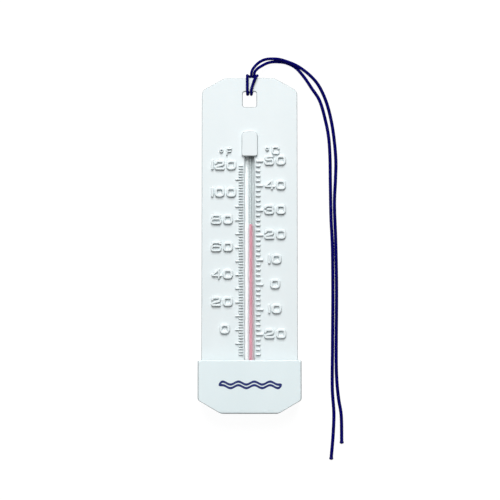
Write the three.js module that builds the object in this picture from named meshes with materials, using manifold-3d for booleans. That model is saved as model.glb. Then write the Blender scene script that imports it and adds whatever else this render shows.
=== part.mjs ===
// Floating pool thermometer, lying on its back. Units are millimetres.
// +X is to the right of the scale face, +Y runs towards the cord end, +Z comes out of the face.
// The origin is the centre of the underside, on the surface that the thermometer lies on.
import * as THREE from "three";
import { mergeGeometries, mergeVertices } from "three/addons/utils/BufferGeometryUtils.js";
import Module from "manifold-3d";

const wasm = await Module();
wasm.setup();

// ---- driving dimensions ------------------------------------------------------------------------

const OVERALL_LENGTH = 189.9;
const TOP_Y = OVERALL_LENGTH / 2;
const BOTTOM_Y = -TOP_Y;

const WALL = 1.4;
const FIT_GAP = 0.35;
const ASSEMBLY_GAP = 0.3;

const CUP = { halfWidth: 28.9, bottomHalfWidth: 15.95, rimY: -65.3, chamferY: -87.35, depth: 19.2 };

const PLATE_HALF_WIDTH = 27.15;
const PLATE_TOP_HALF_WIDTH = 13.9;
const PLATE_CHAMFER_Y = 87.65;
const PLATE_CORNER_RADIUS = 4;
const PLATE_BACK_Z = WALL + FIT_GAP;
const FACE_Z = 9.6;
const FACE_THICKNESS = 1.8;
const SIDE_WALL = 1.6;

const TAB_BACK_Z = 7.0;
const TAB_START_Y = 72.6;
const CORD_HOLE = { halfWidth: 3.9, bottomY: 78.25, topY: 87.1, radius: 1.2 };

const CHAMBER_TOP_Y = TAB_START_Y - SIDE_WALL;
const COVER_THICKNESS = 1.6;
const PAN = { halfWidth: 21, bottomY: -63.5, topY: 67, radius: 4 };

const TUBE_RADIUS = 2.6;
const TUBE_AXIS_Z = FACE_Z - 2.3;
const TUBE_BOTTOM_Y = -89.6;
const TUBE_TOP_Y = 60.6;
const CHANNEL_RADIUS = 2.9;
const CHANNEL_BOTTOM_Y = -90.8;
const CHANNEL_TOP_Y = 62.2;
const TUBE_SIDES = 20;
const THIN_SIDES = 12;

const BORE_X = 0.45;
const BORE_RADIUS = 0.85;
const SPIRIT_RADIUS = 0.68;
const BULB_TOP_Y = -77.6;
const ENAMEL_DROP = 1.35;
const ENAMEL_BOTTOM_Y = -73.8;

const HOOD = { halfWidth: 4.5, bottomY: 49.9, topY: 64, frontZ: 11.3, topCorner: 2.4, bottomCorner: 1 };
const RAIL = { innerX: 3.0, outerX: 3.4, height: 0.5 };
const CHANNEL_BED = { halfWidth: 4.4, bottomY: -92, backZ: 3.7 };
const CUSHION_RADIUS = 2.4;

const STRAP = {
  lowY: -72.5,
  highY: -69,
  halfLength: 7.6,
  topZ: FACE_Z + 1.5,
  pegX: 5.6,
  pegRadius: 0.9,
  pegBottomZ: 8.75,
  holeBottomZ: 8.4,
};

const BALLAST = { innerX: 7.5, outerX: 22.5, lowY: -86, highY: -62, thickness: 3, floorGap: 0.7 };

const RELIEF_HEIGHT = 1.3;
const RELIEF_ROOT = 0.4;

// Each scale: its side, the height of its zero, the length of one degree, its comb of tick bars, and
// the tenths that get a short bar because their numeral reaches almost to the comb.
const FAHRENHEIT = {
  side: -1, zeroY: -48.5, perDegree: 0.7732, low: -18, high: 120, majorTick: 4.5, tickThickness: 0.7,
  crowded: [100, 120],
};
const CELSIUS = {
  side: 1, zeroY: -23.1, perDegree: 1.402, low: -28, high: 50, majorTick: 4.2, tickThickness: 1.1,
  crowded: [],
};
const TICK_INNER_X = 3.6;
const MINOR_TICK = 2.6;

const READING_F = 77.6;
const LEVEL_Y = FAHRENHEIT.zeroY + READING_F * FAHRENHEIT.perDegree;
const MENISCUS_LENGTH = 1.2;

const DIGIT = { width: 5.7, height: 5.6, stroke: 1.25 };
const NUMERAL_RISE = 0.5;
const DIGIT_ADVANCE = 6.6;
const NARROW_ADVANCE = 4.1;
const NUMERAL_X = { celsius: 14.4, fahrenheit: -15.6, fahrenheitHundreds: -14.5, fahrenheitZero: -14.0 };

// The two degree signs, each a small ring beside its letter.
const UNIT_SIGNS = [
  { name: "F", x: -11.8, y: 52.4, width: 3.6, height: 4.1, stroke: 0.95 },
  { name: "0", x: -16.0, y: 52.9, width: 2.1, height: 2.1, stroke: 0.6 },
  { name: "C", x: 14.8, y: 53.1, width: 4.4, height: 4.6, stroke: 1.1 },
  { name: "0", x: 10.0, y: 54.0, width: 2.1, height: 2.1, stroke: 0.6 },
];

// The mark printed on the cup: a wavy band with a wavy slot along its middle.
const WAVE = { centreX: 0.4, centreY: -78.9, amplitude: 0.8, length: 17.6 };
const WAVE_BAND = { halfLength: 17.6, halfThickness: 1.65, endLength: 2.4, steps: 44 };
const WAVE_SLOT = { halfLength: 16, halfThickness: 0.32, endLength: 0.8, steps: 40 };

const CORD_RADIUS = 0.8;

// ---- colours -----------------------------------------------------------------------------------

const WHITE_PLASTIC = { color: 0xe9f1f3, roughness: 0.45, metalness: 0 };
const CLEAR_GLASS = { color: 0xdfe8ea, roughness: 0.05, metalness: 0, transparent: true, opacity: 0.35 };
const WHITE_ENAMEL = { color: 0xd6dfe1, roughness: 0.3, metalness: 0 };
const RED_SPIRIT = { color: 0xc8546e, roughness: 0.2, metalness: 0 };
const NAVY_INK = { color: 0x0c1255, roughness: 0.5, metalness: 0 };
const NAVY_CORD = { color: 0x0d0a6b, roughness: 0.8, metalness: 0 };
const STEEL = { color: 0x9a9da0, roughness: 0.4, metalness: 1 };
const FOAM = { color: 0xd8d8d4, roughness: 0.9, metalness: 0 };

// ---- solids and booleans -----------------------------------------------------------------------

function solidOf(geometry) {
  const bare = geometry.clone();
  bare.deleteAttribute("normal");
  bare.deleteAttribute("uv");
  const merged = mergeVertices(bare, 1e-4);
  return new wasm.Manifold(new wasm.Mesh({
    numProp: 3,
    vertProperties: new Float32Array(merged.attributes.position.array),
    triVerts: new Uint32Array(merged.index.array),
  }));
}

function geometryOf(solid) {
  const mesh = solid.getMesh();
  const geometry = new THREE.BufferGeometry();
  geometry.setAttribute("position", new THREE.BufferAttribute(mesh.vertProperties, 3));
  geometry.setIndex(new THREE.BufferAttribute(mesh.triVerts, 1));
  geometry.computeVertexNormals();
  return geometry;
}

function slabGeometry(shape, lowZ, highZ) {
  const geometry = new THREE.ExtrudeGeometry(shape, {
    depth: highZ - lowZ,
    bevelEnabled: false,
    curveSegments: 4,
  });
  return geometry.translate(0, 0, lowZ);
}

function slab(shape, lowZ, highZ) {
  return solidOf(slabGeometry(shape, lowZ, highZ));
}

function boxGeometry([lowX, lowY, lowZ], [highX, highY, highZ]) {
  const geometry = new THREE.BoxGeometry(highX - lowX, highY - lowY, highZ - lowZ);
  return geometry.translate((lowX + highX) / 2, (lowY + highY) / 2, (lowZ + highZ) / 2);
}

function box(low, high) {
  return solidOf(boxGeometry(low, high));
}

// A round rod along Y, centred on the tube's axis or beside it.
function rod(radius, lowY, highY, x = 0, sides = TUBE_SIDES) {
  const geometry = new THREE.CylinderGeometry(radius, radius, highY - lowY, sides);
  return solidOf(geometry.translate(x, (lowY + highY) / 2, TUBE_AXIS_Z));
}

// A turned piece along Y: the profile is [radius, y] from one end of the axis to the other.
function turned(profile, x = 0, sides = TUBE_SIDES) {
  const points = profile.map(([radius, y]) => new THREE.Vector2(radius, y));
  return solidOf(new THREE.LatheGeometry(points, sides).translate(x, 0, TUBE_AXIS_Z));
}

// ---- outlines ----------------------------------------------------------------------------------

// A closed outline through [x, y, corner radius] points, each corner rounded by a curve.
function roundedShape(corners) {
  const shape = new THREE.Shape();
  const count = corners.length;
  corners.forEach(([x, y, radius], i) => {
    const before = corners[(i + count - 1) % count];
    const after = corners[(i + 1) % count];
    const start = towards(x, y, before, radius);
    const end = towards(x, y, after, radius);
    if (i === 0) {
      shape.moveTo(...start);
    } else {
      shape.lineTo(...start);
    }
    if (radius > 0) {
      shape.quadraticCurveTo(x, y, ...end);
    }
  });
  shape.closePath();
  return shape;
}

function towards(x, y, [otherX, otherY], distance) {
  const length = Math.hypot(otherX - x, otherY - y);
  return [x + ((otherX - x) * distance) / length, y + ((otherY - y) * distance) / length];
}

function roundedRectangle(halfWidth, lowY, highY, radius) {
  return roundedShape([
    [halfWidth, lowY, radius],
    [halfWidth, highY, radius],
    [-halfWidth, highY, radius],
    [-halfWidth, lowY, radius],
  ]);
}

// The right and left lower corners of the cup's outline, moved inwards by an inset.
function lowerCorners(inset) {
  const run = CUP.halfWidth - CUP.bottomHalfWidth;
  const slope = (CUP.chamferY - BOTTOM_Y) / run;
  const rise = inset * Math.hypot(1, slope);
  const sideX = CUP.halfWidth - inset;
  const sideY = CUP.chamferY + rise - slope * inset;
  const bottomY = BOTTOM_Y + inset;
  const bottomX = CUP.bottomHalfWidth + (inset - rise) / slope;
  return { sideX, sideY, bottomX, bottomY };
}

function cupOutline(inset, topY, radius) {
  const { sideX, sideY, bottomX, bottomY } = lowerCorners(inset);
  return roundedShape([
    [bottomX, bottomY, radius],
    [sideX, sideY, radius],
    [sideX, topY, 0],
    [-sideX, topY, 0],
    [-sideX, sideY, radius],
    [-bottomX, bottomY, radius],
  ]);
}

function plateOutline() {
  const { sideY, bottomX, bottomY } = lowerCorners(WALL + FIT_GAP);
  return roundedShape([
    [bottomX, bottomY, 1],
    [PLATE_HALF_WIDTH, sideY, 1],
    [PLATE_HALF_WIDTH, PLATE_CHAMFER_Y, PLATE_CORNER_RADIUS],
    [PLATE_TOP_HALF_WIDTH, TOP_Y, PLATE_CORNER_RADIUS],
    [-PLATE_TOP_HALF_WIDTH, TOP_Y, PLATE_CORNER_RADIUS],
    [-PLATE_HALF_WIDTH, PLATE_CHAMFER_Y, PLATE_CORNER_RADIUS],
    [-PLATE_HALF_WIDTH, sideY, 1],
    [-bottomX, bottomY, 1],
  ]);
}

function chamberOutline(inset) {
  return cupOutline(WALL + FIT_GAP + SIDE_WALL + inset, CHAMBER_TOP_Y - inset, 1);
}

// ---- raised scale ------------------------------------------------------------------------------

// Each sign is a list of strokes on a grid from -1 to 1 both ways. A stroke that is a ring is closed.
const RING = [[-1, -0.5], [-0.55, -1], [0.55, -1], [1, -0.5], [1, 0.5], [0.55, 1], [-0.55, 1], [-1, 0.5]];
const SIGNS = {
  0: [{ ring: true, points: RING }],
  1: [{ points: [[0, 1], [0, -1]] }],
  2: [
    { points: [[-1, 0.55], [-0.6, 1], [0.6, 1], [1, 0.6], [0.9, 0.15], [-0.7, -0.3], [-1, -1], [1, -1]] },
  ],
  3: [
    { points: [[-1, 0.6], [-0.6, 1], [0.6, 1], [1, 0.55], [0.5, 0.05], [-0.3, 0.05]] },
    { points: [[0.3, 0.05], [1, -0.4], [0.6, -1], [-0.6, -1], [-1, -0.6]] },
  ],
  4: [{ points: [[0.68, 1], [0.68, -1]] }, { points: [[0.55, 0.95], [-1.05, -0.4], [1.15, -0.4]] }],
  5: [
    { points: [[0.9, 1], [-0.8, 1], [-0.9, 0.15], [0.5, 0.2], [1, -0.3], [0.6, -1], [-0.6, -1], [-1, -0.65]] },
  ],
  6: [
    { ring: true, points: RING.map(([x, y]) => [x, y * 0.55 - 0.45]) },
    { points: [[0.95, 0.75], [0.55, 1], [-0.55, 1], [-1, 0.5], [-1, -0.3]] },
  ],
  8: [
    { ring: true, points: RING.map(([x, y]) => [x, y * 0.55 - 0.45]) },
    { ring: true, points: RING.map(([x, y]) => [x * 0.85, y * 0.47 + 0.53]) },
  ],
  F: [{ points: [[-0.8, -1], [-0.8, 1], [1, 1]] }, { points: [[-0.8, 0.05], [0.75, 0.05]] }],
  C: [
    { points: [[1, 0.55], [0.55, 1], [-0.55, 1], [-1, 0.5], [-1, -0.5], [-0.55, -1], [0.55, -1], [1, -0.55]] },
  ],
};

// The points of a stroke's one edge: the centre line moved sideways, with mitred corners.
function strokeEdge(points, offset, ring) {
  const last = points.length - 1;
  return points.map(([x, y], i) => {
    const before = ring ? points[(i + last) % points.length] : points[Math.max(i - 1, 0)];
    const after = ring ? points[(i + 1) % points.length] : points[Math.min(i + 1, last)];
    const into = new THREE.Vector2(x - before[0], y - before[1]).normalize();
    const out = new THREE.Vector2(after[0] - x, after[1] - y).normalize();
    const along = into.clone().add(out).normalize();
    const cosine = Math.max(along.dot(into.length() > 0 ? into : out), 0.5);
    return new THREE.Vector2(x - (along.y * offset) / cosine, y + (along.x * offset) / cosine);
  });
}

function strokeShape(points, width, ring) {
  const left = strokeEdge(points, width / 2, ring);
  const right = strokeEdge(points, -width / 2, ring);
  if (!ring) {
    return new THREE.Shape([...right, ...left.reverse()]);
  }
  const shape = new THREE.Shape(right);
  shape.holes.push(new THREE.Path(left));
  return shape;
}

function sign(name, centreX, centreY, { width, height, stroke }) {
  const halfX = (width - stroke) / 2;
  const halfY = (height - stroke) / 2;
  const strokes = SIGNS[name].map(({ points, ring }) => {
    const placed = points.map(([x, y]) => [centreX + x * halfX, centreY + y * halfY]);
    return slab(strokeShape(placed, stroke, ring), FACE_Z - RELIEF_ROOT, FACE_Z + RELIEF_HEIGHT);
  });
  return strokes.reduce((whole, next) => whole.add(next));
}

function numeral(value, centreX, centreY) {
  const digits = String(Math.abs(value)).split("");
  const advances = digits.slice(1).map((digit, i) => (digits[i] === "1" ? NARROW_ADVANCE : DIGIT_ADVANCE));
  const span = advances.reduce((sum, advance) => sum + advance, 0);
  const lead = digits[0] === "1" ? (DIGIT_ADVANCE - NARROW_ADVANCE) / 2 : 0;
  let x = centreX - span / 2 - lead;
  return digits.map((digit, i) => {
    const placed = sign(digit, x, centreY, DIGIT);
    x += advances[i] ?? 0;
    return placed;
  });
}

function tickY(scale, degrees) {
  return scale.zeroY + degrees * scale.perDegree;
}

// One comb of tick bars: every second degree, longer at each tenth.
function tickComb(scale) {
  const { side, low, high, majorTick, tickThickness, crowded } = scale;
  const bars = [];
  for (let degrees = low; degrees <= high; degrees += 2) {
    const isMajor = degrees % 10 === 0 && !crowded.includes(degrees);
    const length = isMajor ? majorTick : MINOR_TICK;
    const y = tickY(scale, degrees);
    const ends = [side * TICK_INNER_X, side * (TICK_INNER_X + length)].sort((a, b) => a - b);
    bars.push(boxGeometry(
      [ends[0], y - tickThickness / 2, FACE_Z - RELIEF_ROOT],
      [ends[1], y + tickThickness / 2, FACE_Z + RELIEF_HEIGHT],
    ));
  }
  return solidOf(mergeGeometries(bars));
}

function fahrenheitX(value) {
  if (value === 0) {
    return NUMERAL_X.fahrenheitZero;
  }
  return value >= 100 ? NUMERAL_X.fahrenheitHundreds : NUMERAL_X.fahrenheit;
}

function raisedScale() {
  const pieces = [tickComb(FAHRENHEIT), tickComb(CELSIUS)];
  for (let value = 0; value <= 120; value += 20) {
    pieces.push(...numeral(value, fahrenheitX(value), tickY(FAHRENHEIT, value) + NUMERAL_RISE));
  }
  for (let value = -20; value <= 50; value += 10) {
    pieces.push(...numeral(value, NUMERAL_X.celsius, tickY(CELSIUS, value) + NUMERAL_RISE));
  }
  for (const unit of UNIT_SIGNS) {
    pieces.push(sign(unit.name, unit.x, unit.y, unit));
  }
  return pieces.reduce((whole, next) => whole.add(next));
}

// ---- moulded pieces ----------------------------------------------------------------------------

function hoodShape() {
  const { halfWidth, bottomY, topY, topCorner, bottomCorner } = HOOD;
  return roundedShape([
    [halfWidth, bottomY, bottomCorner],
    [halfWidth, topY, topCorner],
    [-halfWidth, topY, topCorner],
    [-halfWidth, bottomY, bottomCorner],
  ]);
}

// The bed under the channel keeps the float chamber's wall whole where the channel is deepest.
function channelBed() {
  const { halfWidth, bottomY, backZ } = CHANNEL_BED;
  return box([-halfWidth, bottomY, backZ], [halfWidth, CHAMBER_TOP_Y + 0.5, FACE_Z - 1]);
}

function rail(side) {
  const edges = [side * RAIL.innerX, side * RAIL.outerX].sort((a, b) => a - b);
  const low = [edges[0], CUP.rimY + 0.8, FACE_Z - RELIEF_ROOT];
  return box(low, [edges[1], HOOD.bottomY + 1, FACE_Z + RAIL.height]);
}

// The tube's groove: round at its bottom and straight up to the face, and closed over by the hood.
function channel() {
  const round = rod(CHANNEL_RADIUS, CHANNEL_BOTTOM_Y, CHANNEL_TOP_Y);
  const low = [-CHANNEL_RADIUS, CHANNEL_BOTTOM_Y, TUBE_AXIS_Z];
  return round.add(box(low, [CHANNEL_RADIUS, HOOD.bottomY, FACE_Z + 2]));
}

function scalePlate() {
  const beyond = TOP_Y + 5;
  const below = PLATE_BACK_Z - 1;
  let plate = slab(plateOutline(), PLATE_BACK_Z, FACE_Z);
  plate = plate.subtract(slab(chamberOutline(0), below, FACE_Z - FACE_THICKNESS));
  plate = plate.subtract(box([-beyond, TAB_START_Y, below], [beyond, beyond, TAB_BACK_Z]));
  plate = plate.add(channelBed());
  plate = plate.add(slab(hoodShape(), FACE_Z - RELIEF_ROOT, HOOD.frontZ));
  plate = plate.add(rail(-1)).add(rail(1));
  plate = plate.add(raisedScale());
  plate = plate.subtract(channel());
  for (const x of [-STRAP.pegX, STRAP.pegX]) {
    plate = plate.subtract(pegSolid(x, STRAP.pegRadius + ASSEMBLY_GAP, STRAP.holeBottomZ, FACE_Z + 1));
  }
  const { halfWidth, bottomY, topY, radius } = CORD_HOLE;
  return plate.subtract(slab(roundedRectangle(halfWidth, bottomY, topY, radius), below, FACE_Z + 1));
}

function backCover() {
  const topZ = PLATE_BACK_Z + COVER_THICKNESS;
  const { halfWidth, bottomY, topY, radius } = PAN;
  const inner = COVER_THICKNESS;
  const pan = slab(roundedRectangle(halfWidth, bottomY, topY, radius), 0, topZ);
  const pocketShape = roundedRectangle(halfWidth - inner, bottomY + inner, topY - inner, radius - inner);
  return slab(chamberOutline(ASSEMBLY_GAP), PLATE_BACK_Z, topZ)
    .add(pan)
    .subtract(slab(pocketShape, COVER_THICKNESS, topZ + 1));
}

function reservoirCup() {
  const outer = slab(cupOutline(0, CUP.rimY, 1.2), 0, CUP.depth);
  return outer.subtract(slab(cupOutline(WALL, CUP.rimY + 5, 1), WALL, CUP.depth - WALL));
}

function pegSolid(x, radius, lowZ, highZ) {
  const peg = new THREE.CylinderGeometry(radius, radius, highZ - lowZ, THIN_SIDES).rotateX(Math.PI / 2);
  return solidOf(peg.translate(x, (STRAP.lowY + STRAP.highY) / 2, (lowZ + highZ) / 2));
}

// A flat bar across the tube, hollowed to fit over it, with a peg into the plate at each end.
function tubeStrap() {
  const { lowY, highY, halfLength, topZ, pegX, pegRadius, pegBottomZ } = STRAP;
  let strap = box([-halfLength, lowY, FACE_Z + ASSEMBLY_GAP], [halfLength, highY, topZ]);
  strap = strap.subtract(rod(CHANNEL_RADIUS, lowY - 1, highY + 1));
  for (const x of [-pegX, pegX]) {
    strap = strap.add(pegSolid(x, pegRadius, pegBottomZ, topZ - 0.2));
  }
  return strap;
}

// ---- thermometer tube --------------------------------------------------------------------------

function glassTube() {
  const outer = turned([
    [0, TUBE_BOTTOM_Y],
    [1.4, TUBE_BOTTOM_Y + 0.2],
    [2.3, TUBE_BOTTOM_Y + 1],
    [TUBE_RADIUS, TUBE_BOTTOM_Y + 2.2],
    [TUBE_RADIUS, TUBE_TOP_Y - 0.4],
    [TUBE_RADIUS - 0.4, TUBE_TOP_Y],
    [0, TUBE_TOP_Y],
  ]);
  const bulb = turned([
    [0, TUBE_BOTTOM_Y + 2],
    [1.3, TUBE_BOTTOM_Y + 2.2],
    [1.85, TUBE_BOTTOM_Y + 3.1],
    [1.85, BULB_TOP_Y - 1.7],
    [1, BULB_TOP_Y],
    [0, BULB_TOP_Y],
  ]);
  const backCut = box(
    [-TUBE_RADIUS - 1, ENAMEL_BOTTOM_Y, TUBE_AXIS_Z - TUBE_RADIUS - 1],
    [TUBE_RADIUS + 1, TUBE_TOP_Y + 1, TUBE_AXIS_Z - ENAMEL_DROP],
  );
  const bore = rod(BORE_RADIUS, BULB_TOP_Y - 1.4, TUBE_TOP_Y + 1, BORE_X, THIN_SIDES);
  return outer.subtract(backCut).subtract(bulb).subtract(bore);
}

function enamelBacking() {
  const lowY = ENAMEL_BOTTOM_Y + ASSEMBLY_GAP;
  const highZ = TUBE_AXIS_Z - ENAMEL_DROP - 0.15;
  const reach = TUBE_RADIUS + 1;
  const back = box([-reach, lowY, TUBE_AXIS_Z - reach], [reach, TUBE_TOP_Y, highZ]);
  return rod(TUBE_RADIUS, lowY, TUBE_TOP_Y).intersect(back);
}

function bulbSpirit() {
  return turned([
    [0, TUBE_BOTTOM_Y + 2.4],
    [1.1, TUBE_BOTTOM_Y + 2.6],
    [1.5, TUBE_BOTTOM_Y + 3.3],
    [1.5, BULB_TOP_Y - 2],
    [0.6, BULB_TOP_Y - 0.4],
    [0, BULB_TOP_Y - 0.4],
  ]);
}

function spiritColumn() {
  const topY = LEVEL_Y - MENISCUS_LENGTH - ASSEMBLY_GAP;
  return rod(SPIRIT_RADIUS, BULB_TOP_Y - 0.1, topY, BORE_X, THIN_SIDES);
}

function spiritMeniscus() {
  return turned([
    [0, LEVEL_Y - MENISCUS_LENGTH],
    [SPIRIT_RADIUS, LEVEL_Y - MENISCUS_LENGTH],
    [SPIRIT_RADIUS, LEVEL_Y - 0.4],
    [0.45, LEVEL_Y - 0.1],
    [0, LEVEL_Y],
  ], BORE_X, THIN_SIDES);
}

function tubeEndCushion() {
  return rod(CUSHION_RADIUS, TUBE_TOP_Y + ASSEMBLY_GAP, CHANNEL_TOP_Y - ASSEMBLY_GAP);
}

function ballastBar(side) {
  const { innerX, outerX, lowY, highY, thickness, floorGap } = BALLAST;
  const lowZ = PLATE_BACK_Z + COVER_THICKNESS + floorGap;
  const edges = [side * innerX, side * outerX].sort((a, b) => a - b);
  return box([edges[0], lowY, lowZ], [edges[1], highY, lowZ + thickness]);
}

// ---- printed mark ------------------------------------------------------------------------------

function waveY(x) {
  return WAVE.centreY + WAVE.amplitude * Math.sin(((x - WAVE.centreX) / WAVE.length) * Math.PI * 4);
}

// The outline of a band that follows the wave and closes to round ends.
function bandOutline({ halfLength, halfThickness, endLength, steps }) {
  const upper = [];
  const lower = [];
  for (let i = 1; i < steps; i += 1) {
    const along = halfLength * Math.sin((i / steps - 0.5) * Math.PI);
    const intoEnd = Math.max(0, (Math.abs(along) - halfLength + endLength) / endLength);
    const reach = halfThickness * Math.sqrt(Math.max(0, 1 - intoEnd * intoEnd));
    const x = WAVE.centreX + along;
    upper.push(new THREE.Vector2(x, waveY(x) + reach));
    lower.push(new THREE.Vector2(x, waveY(x) - reach));
  }
  const ends = [-halfLength, halfLength].map((along) => {
    const x = WAVE.centreX + along;
    return new THREE.Vector2(x, waveY(x));
  });
  return [ends[0], ...lower, ends[1], ...upper.reverse()];
}

function printedMark() {
  const shape = new THREE.Shape(bandOutline(WAVE_BAND));
  shape.holes.push(new THREE.Path(bandOutline(WAVE_SLOT).reverse()));
  return slab(shape, CUP.depth + 0.05, CUP.depth + 0.2);
}

// ---- cord --------------------------------------------------------------------------------------

// The cord is one piece, hitched through the hole by its middle. Each half starts at the middle of
// the bight, goes down the face, back through the hole, up behind the tab and out over its top edge
// inside the bight, and then lies along the surface beside the thermometer. The hitch is one solid,
// and each tail is another that starts 0.3 mm past the hitch's end.
const BIGHT = [1.55, 96.5, 4.1];
const LEFT_LEG = [
  [0.3, 96.5, 4.5], [-0.85, 96.55, 5.8], [-1.25, 96.6, 7.6], [-1.3, 96.3, 9.3], [-1.3, 95.4, 10.5],
  [-1.3, 94.0, 10.9], [-1.3, 91.0, 10.6], [-1.3, 88.1, 10.8], [-1.25, 86.3, 10.05], [-1.15, 85.6, 8.3],
  [-0.9, 86.3, 6.55], [-0.5, 88.1, 5.8], [0.8, 93.6, 5.85], [0.95, 95.2, 6.1], [1.0, 96.5, 7.1],
];
const RIGHT_LEG = [
  [2.8, 96.5, 4.5], [4.0, 96.55, 5.8], [4.4, 96.5, 7.6], [4.25, 96.2, 9.3], [3.7, 95.4, 10.5],
  [2.9, 94.0, 10.9], [1.9, 91.2, 10.6], [1.05, 88.2, 10.8], [0.95, 86.3, 10.05], [0.95, 85.6, 8.3],
  [1.1, 86.3, 6.55], [1.5, 88.1, 5.8], [2.45, 93.6, 5.85], [2.6, 95.2, 6.1], [2.65, 96.5, 7.1],
];
const OUTER_TAIL = [
  [1.02, 96.73, 7.3], [1.1, 98.2, 7.9], [1.8, 100.2, 7.9], [4.5, 103.6, 6.9], [7.3, 105.7, 5.6],
  [10.0, 106.8, 4.2], [13.5, 107.2, 3.1], [17.2, 107.0, 2.6], [21.3, 105.8, 2.5], [25.8, 104.0, 2.5],
  [29.5, 102.0, 1.9], [35.1, 97.7, 0.85], [39.5, 92.5, 0.85], [43.8, 83.4, 0.85], [46.9, 71.8, 0.85],
  [48.7, 59.4, 0.85], [49.5, 47.8, 0.85], [49.2, 37.4, 0.85], [48.6, 24.2, 0.85], [49.2, 3.0, 0.85],
  [49.6, -22.8, 0.85], [49.4, -73.9, 0.85], [50.5, -87.2, 0.85], [51.9, -96.0, 0.85],
  [52.2, -112.9, 0.85],
];
const INNER_TAIL = [
  [2.67, 96.73, 7.3], [2.9, 98.5, 7.9], [4.5, 100.6, 7.4], [7.3, 102.8, 5.5], [10.0, 104.5, 3.8],
  [12.8, 105.5, 2.2], [16.4, 105.8, 1.1], [20.7, 105.3, 0.85], [26.3, 102.6, 0.85], [31.3, 97.1, 0.85],
  [35.6, 90.7, 0.85], [40.1, 83.7, 0.85], [43.6, 71.8, 0.85], [45.4, 62.0, 0.85], [46.1, 51.3, 0.85],
  [46.3, 34.6, 0.85], [46.6, 15.6, 0.85], [47.3, 0.1, 0.85], [47.5, -25.6, 0.85], [47.2, -56.9, 0.85],
  [47.0, -82.4, 0.85], [47.8, -95.4, 0.85], [47.4, -106.7, 0.85], [46.1, -121.9, 0.85],
];

function cordTube(points, steps) {
  const section = new THREE.Shape();
  section.absarc(0, 0, CORD_RADIUS, 0, 2 * Math.PI, false);
  const corners = points.map((point) => new THREE.Vector3(...point));
  const route = new THREE.CatmullRomCurve3(corners, false, "centripetal");
  return new THREE.ExtrudeGeometry(section, { steps, curveSegments: 4, extrudePath: route });
}

function cordHitch() {
  return cordTube([...LEFT_LEG].reverse().concat([BIGHT], RIGHT_LEG), 34);
}

// ---- assembly ----------------------------------------------------------------------------------

const thermometer = new THREE.Group();

function addPiece(name, geometry, look) {
  const mesh = new THREE.Mesh(geometry, new THREE.MeshStandardMaterial(look));
  mesh.name = name;
  thermometer.add(mesh);
}

addPiece("scale_plate", geometryOf(scalePlate()), WHITE_PLASTIC);
addPiece("back_cover", geometryOf(backCover()), WHITE_PLASTIC);
addPiece("reservoir_cup", geometryOf(reservoirCup()), WHITE_PLASTIC);
addPiece("tube_strap", geometryOf(tubeStrap()), WHITE_PLASTIC);
addPiece("glass_tube", geometryOf(glassTube()), CLEAR_GLASS);
addPiece("enamel_backing", geometryOf(enamelBacking()), WHITE_ENAMEL);
addPiece("spirit_column", geometryOf(spiritColumn()), RED_SPIRIT);
addPiece("spirit_meniscus", geometryOf(spiritMeniscus()), RED_SPIRIT);
addPiece("bulb_spirit", geometryOf(bulbSpirit()), RED_SPIRIT);
addPiece("tube_end_cushion", geometryOf(tubeEndCushion()), FOAM);
addPiece("ballast_bar_left", geometryOf(ballastBar(-1)), STEEL);
addPiece("ballast_bar_right", geometryOf(ballastBar(1)), STEEL);
addPiece("printed_mark", geometryOf(printedMark()), NAVY_INK);
addPiece("cord_hitch", cordHitch(), NAVY_CORD);
addPiece("cord_tail_outer", cordTube(OUTER_TAIL, 23), NAVY_CORD);
addPiece("cord_tail_inner", cordTube(INNER_TAIL, 23), NAVY_CORD);

export default thermometer;
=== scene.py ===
import math

import bmesh
import bpy
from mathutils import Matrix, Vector


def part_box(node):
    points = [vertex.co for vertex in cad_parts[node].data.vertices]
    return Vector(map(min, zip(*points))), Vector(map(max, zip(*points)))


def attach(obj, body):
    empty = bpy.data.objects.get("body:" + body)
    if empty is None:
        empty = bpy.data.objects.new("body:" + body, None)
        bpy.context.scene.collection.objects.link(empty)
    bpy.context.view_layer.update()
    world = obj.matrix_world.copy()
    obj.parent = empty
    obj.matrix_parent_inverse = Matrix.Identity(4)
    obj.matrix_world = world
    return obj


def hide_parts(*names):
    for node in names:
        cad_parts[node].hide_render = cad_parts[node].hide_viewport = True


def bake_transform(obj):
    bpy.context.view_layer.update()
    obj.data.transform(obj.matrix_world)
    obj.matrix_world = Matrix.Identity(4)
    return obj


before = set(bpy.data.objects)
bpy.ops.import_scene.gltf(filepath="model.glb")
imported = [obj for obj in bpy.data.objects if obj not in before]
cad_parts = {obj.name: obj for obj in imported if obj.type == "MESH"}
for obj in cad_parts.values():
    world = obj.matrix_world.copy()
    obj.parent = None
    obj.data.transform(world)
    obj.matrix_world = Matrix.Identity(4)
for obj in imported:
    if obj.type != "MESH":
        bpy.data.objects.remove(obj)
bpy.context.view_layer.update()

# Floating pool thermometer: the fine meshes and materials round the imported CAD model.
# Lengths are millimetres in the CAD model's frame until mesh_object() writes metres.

MM = 0.001
ROOT = "thermometer_body"
MOVER = "spirit_level"


def box_mm(node):
    low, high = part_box(node)
    return Vector(low) / MM, Vector(high) / MM


# ---- sizes -------------------------------------------------------------------------------------

CUP_LOW, CUP_HIGH = box_mm("reservoir_cup")
PLATE_LOW, PLATE_HIGH = box_mm("scale_plate")
COVER_LOW = box_mm("back_cover")[0]
TUBE_LOW, TUBE_HIGH = box_mm("glass_tube")
COLUMN_LOW, COLUMN_HIGH = box_mm("spirit_column")
LEVEL_HIGH = box_mm("spirit_meniscus")[1]
BULB_LOW, BULB_HIGH = box_mm("bulb_spirit")
ENAMEL_LOW, ENAMEL_HIGH = box_mm("enamel_backing")
MARK_LOW, MARK_HIGH = box_mm("printed_mark")

WALL = 1.4
FIT_GAP = 0.35
ASSEMBLY_GAP = 0.3

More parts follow.
